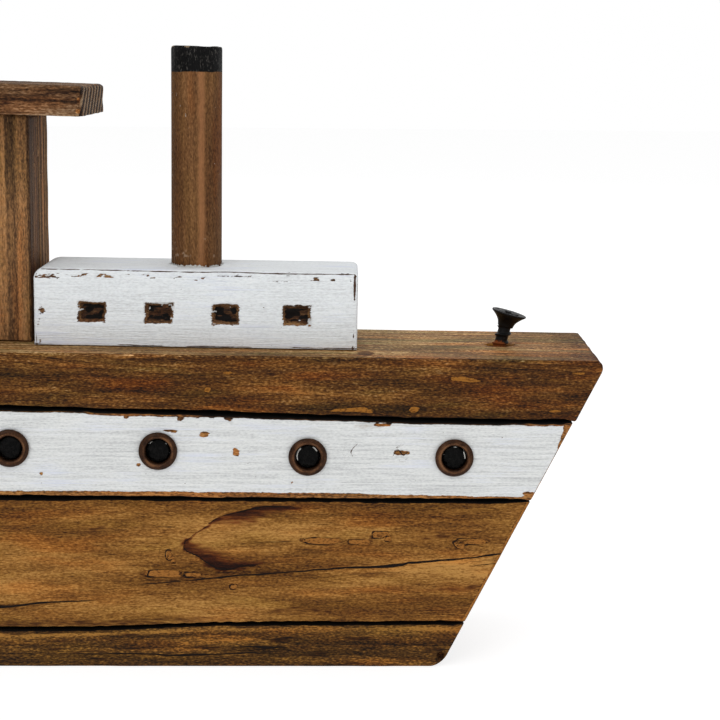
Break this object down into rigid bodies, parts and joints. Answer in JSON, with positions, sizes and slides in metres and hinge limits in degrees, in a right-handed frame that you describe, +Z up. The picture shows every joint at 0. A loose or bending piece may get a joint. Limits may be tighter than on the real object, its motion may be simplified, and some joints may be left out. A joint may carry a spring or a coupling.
{
  "type": "toy boat",
  "caption": "Wooden toy steamer: stacked-plank hull with raked ends, eyelet portholes, white deckhouse, dowel funnel, roofed wheelhouse and screw bollards; flat keel to stand on.",
  "frame": {"origin": "on the ground plane, below the middle of the hull's bounding box", "axes": "+X along the hull towards the stern, +Y to the starboard side, +Z up"},
  "size_m": [0.2764, 0.0426, 0.1457],
  "materials": {
    "keel_wood": "weathered, stained dark brown",
    "hull_wood": "stained mid brown with knots and cracks",
    "band_paint": "white paint on wood, chipped at the edges",
    "deck_wood": "weathered dark brown, greyer on top",
    "deckhouse_paint": "white brushed paint on wood, worn at the edges",
    "funnel_wood": "reddish brown stain, black painted top",
    "cabin_wood": "striped brown stain",
    "roof_wood": "weathered, ridged grain",
    "raw_wood": "bare",
    "bronze": "dark antique bronze",
    "black_enamel": "glossy black drop",
    "black_steel": "black phosphate"
  },
  "bodies": {
    "root": {"hull_bottom_plank": "keel_wood", "hull_main_plank": "hull_wood", "hull_band_plank": "band_paint", "hull_deck_plank": "deck_wood", "hull_dowel_fore": "raw_wood", "hull_dowel_aft": "raw_wood", "deckhouse": "deckhouse_paint", "funnel": "funnel_wood", "wheelhouse": "cabin_wood", "wheelhouse_dowel": "raw_wood", "roof": "roof_wood", "roof_dowel": "raw_wood", "bollard_screw_fore": "black_steel", "bollard_screw_aft": "black_steel", "porthole_eyelet_port_1": "bronze", "porthole_pane_port_1": "black_enamel", "porthole_eyelet_port_2": "bronze", "porthole_pane_port_2": "black_enamel", "porthole_eyelet_port_3": "bronze", "porthole_pane_port_3": "black_enamel", "porthole_eyelet_port_4": "bronze", "porthole_pane_port_4": "black_enamel", "porthole_eyelet_port_5": "bronze", "porthole_pane_port_5": "black_enamel", "porthole_eyelet_port_6": "bronze", "porthole_pane_port_6": "black_enamel", "porthole_eyelet_port_7": "bronze", "porthole_pane_port_7": "black_enamel", "porthole_eyelet_starboard_1": "bronze", "porthole_pane_starboard_1": "black_enamel", "porthole_eyelet_starboard_2": "bronze", "porthole_pane_starboard_2": "black_enamel", "porthole_eyelet_starboard_3": "bronze", "porthole_pane_starboard_3": "black_enamel", "porthole_eyelet_starboard_4": "bronze", "porthole_pane_starboard_4": "black_enamel", "porthole_eyelet_starboard_5": "bronze", "porthole_pane_starboard_5": "black_enamel", "porthole_eyelet_starboard_6": "bronze", "porthole_pane_starboard_6": "black_enamel", "porthole_eyelet_starboard_7": "bronze", "porthole_pane_starboard_7": "black_enamel"}
  },
  "joints": []
}
